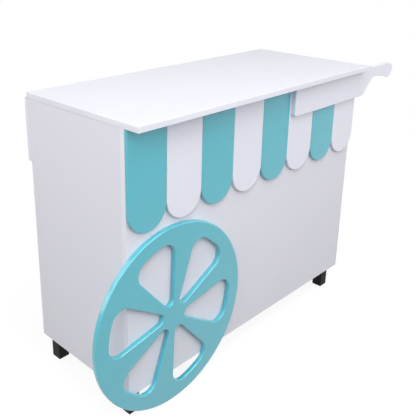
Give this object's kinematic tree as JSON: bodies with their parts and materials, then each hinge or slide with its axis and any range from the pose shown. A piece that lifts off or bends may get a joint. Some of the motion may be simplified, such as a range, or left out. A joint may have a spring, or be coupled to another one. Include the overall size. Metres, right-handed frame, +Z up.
{
  "type": "mobile counter",
  "caption": "White board market counter dressed as a cart: scalloped awning strips, a spoked wheel and a handle board on the front, open shelves and a drop leaf behind.",
  "frame": {"origin": "on the floor, under the middle of the whole object's outer box", "axes": "+Z up, the customer's side with the wheel faces -Y, +X runs along the worktop towards the handle"},
  "size_m": [1.5959, 0.55, 0.9885],
  "materials": {
    "white_board": "satin white melamine",
    "white_edging": "satin",
    "teal_board": "satin teal lacquer",
    "white_lacquer": "satin white lacquer",
    "black_foot": "matt moulded",
    "zinc_steel": "zinc plated",
    "white_bush": "matt moulded"
  },
  "bodies": {
    "counter": {"side_panel_left": "white_board", "side_panel_right": "white_board", "front_panel": "white_board", "bottom_panel": "white_board", "centre_divider": "white_board", "shelf_left": "white_board", "shelf_right": "white_board", "front_rail": "white_board", "rear_rail": "white_board", "worktop": "white_board", "handle_board": "white_lacquer", "worktop_edge_front": "white_edging", "worktop_edge_left": "white_edging", "worktop_edge_right": "white_edging", "awning_strip_1": "teal_board", "awning_strip_2": "white_lacquer", "awning_strip_3": "teal_board", "awning_strip_4": "white_lacquer", "awning_strip_5": "teal_board", "awning_strip_6": "white_lacquer", "awning_strip_7": "teal_board", "awning_strip_8": "white_lacquer", "wheel_bush": "white_bush", "foot_front_left": "black_foot", "foot_front_right": "black_foot", "foot_rear_left": "black_foot", "foot_rear_right": "black_foot", "foot_studs": "zinc_steel", "foot_inserts": "zinc_steel", "leaf_hinge_fixed_1": "zinc_steel", "leaf_hinge_fixed_2": "zinc_steel", "leaf_hinge_fixed_3": "zinc_steel", "leaf_hinge_pins": "zinc_steel", "hinge_screws": "zinc_steel", "stay_plate_left": "zinc_steel", "stay_plate_right": "zinc_steel", "stay_pivot_pins": "zinc_steel", "shelf_pins": "zinc_steel", "corner_brackets": "zinc_steel", "panel_screws": "zinc_steel", "worktop_screws": "zinc_steel", "strip_screws": "zinc_steel", "handle_screws": "zinc_steel"},
    "wheel": {"wheel_disc": "teal_board", "wheel_axle": "zinc_steel", "wheel_axle_screws": "zinc_steel", "wheel_washer": "zinc_steel", "wheel_nut": "zinc_steel"},
    "leaf": {"drop_leaf": "white_board", "leaf_hinge_moving_1": "zinc_steel", "leaf_hinge_moving_2": "zinc_steel", "leaf_hinge_moving_3": "zinc_steel", "stay_arm_left": "zinc_steel", "stay_arm_right": "zinc_steel", "leaf_screws": "zinc_steel"},
    "stay_left": {"stay_brace_left": "zinc_steel", "stay_slot_pin_left": "zinc_steel"},
    "stay_right": {"stay_brace_right": "zinc_steel", "stay_slot_pin_right": "zinc_steel"}
  },
  "joints": [
    {"name": "leaf_hinge", "type": "hinge", "parent": "counter", "child": "leaf", "pos_m": [-0.061, 0.257, 0.9705], "axis": [1, 0, 0], "range_deg": [0, 90]},
    {"name": "stay_left_swing", "type": "hinge", "parent": "counter", "child": "stay_left", "pos_m": [-0.643, 0.227, 0.9005], "axis": [1, 0, 0], "range_deg": [0, 108]},
    {"name": "stay_right_swing", "type": "hinge", "parent": "counter", "child": "stay_right", "pos_m": [0.521, 0.227, 0.9005], "axis": [1, 0, 0], "range_deg": [0, 108]},
    {"name": "wheel_spin", "type": "hinge", "parent": "counter", "child": "wheel", "pos_m": [-0.4825, -0.214, 0.317], "axis": [0, 1, 0], "continuous": true}
  ],
  "couplings": [
    {"joint": "stay_left_swing", "follows": "leaf_hinge", "ratio": 1.2},
    {"joint": "stay_right_swing", "follows": "leaf_hinge", "ratio": 1.2}
  ]
}
